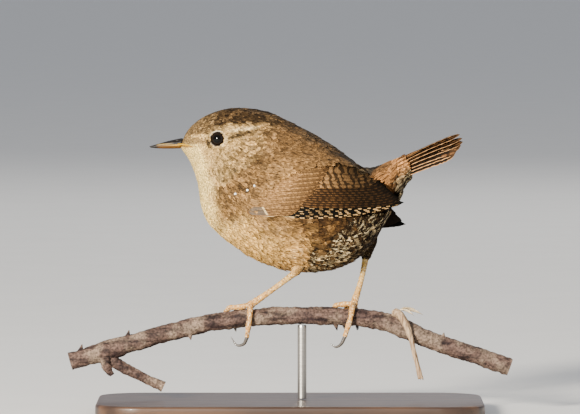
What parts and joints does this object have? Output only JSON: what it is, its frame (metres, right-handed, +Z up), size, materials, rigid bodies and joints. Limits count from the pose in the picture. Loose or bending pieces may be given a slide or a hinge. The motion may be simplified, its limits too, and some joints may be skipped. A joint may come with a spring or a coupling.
{
  "type": "wren",
  "caption": "Small round brown songbird with a cocked tail, standing astride a cut length of branch on a plain display stand.",
  "frame": {"origin": "middle of the display base's underside, on the floor", "axes": "+Z up; -X the way the bird faces; -Y the bird's left side; +X runs along the perch towards the tail"},
  "size_m": [0.1336, 0.066, 0.0916],
  "materials": {
    "plumage_brown": "soft overlapping feathers, matt",
    "plumage_buff": "soft overlapping feathers, matt",
    "flight_feathers": "firm feather vanes with a faint sheen",
    "eye": "wet, near-black, glossy",
    "bill_horn": "dark horn, satin",
    "bill_pale": "pale horn, satin",
    "leg_skin": "scaly skin, satin",
    "claw_horn": "smooth horn, satin",
    "bark": "rough bark",
    "dry_stem": "dry and fibrous",
    "stand_wood": "dark, satin varnish",
    "stand_metal": "brushed"
  },
  "bodies": {
    "root": {"bill_lower": "bill_pale", "bill_upper": "bill_horn", "claw_hind_left": "claw_horn", "claw_hind_right": "claw_horn", "claw_inner_left": "claw_horn", "claw_inner_right": "claw_horn", "claw_middle_left": "claw_horn", "claw_middle_right": "claw_horn", "claw_outer_left": "claw_horn", "claw_outer_right": "claw_horn", "eye_left": "eye", "eye_right": "eye", "foot_left": "leg_skin", "foot_right": "leg_skin", "head": "plumage_brown", "neck": "plumage_buff", "perch_branch": "bark", "perch_stem": "dry_stem", "rump": "plumage_brown", "stand_base": "stand_wood", "stand_rod": "stand_metal", "tail": "flight_feathers", "tarsus_left": "leg_skin", "tarsus_right": "leg_skin", "thigh_left": "plumage_buff", "thigh_right": "plumage_buff", "torso": "plumage_buff", "wing_left": "flight_feathers", "wing_right": "flight_feathers"}
  },
  "joints": []
}
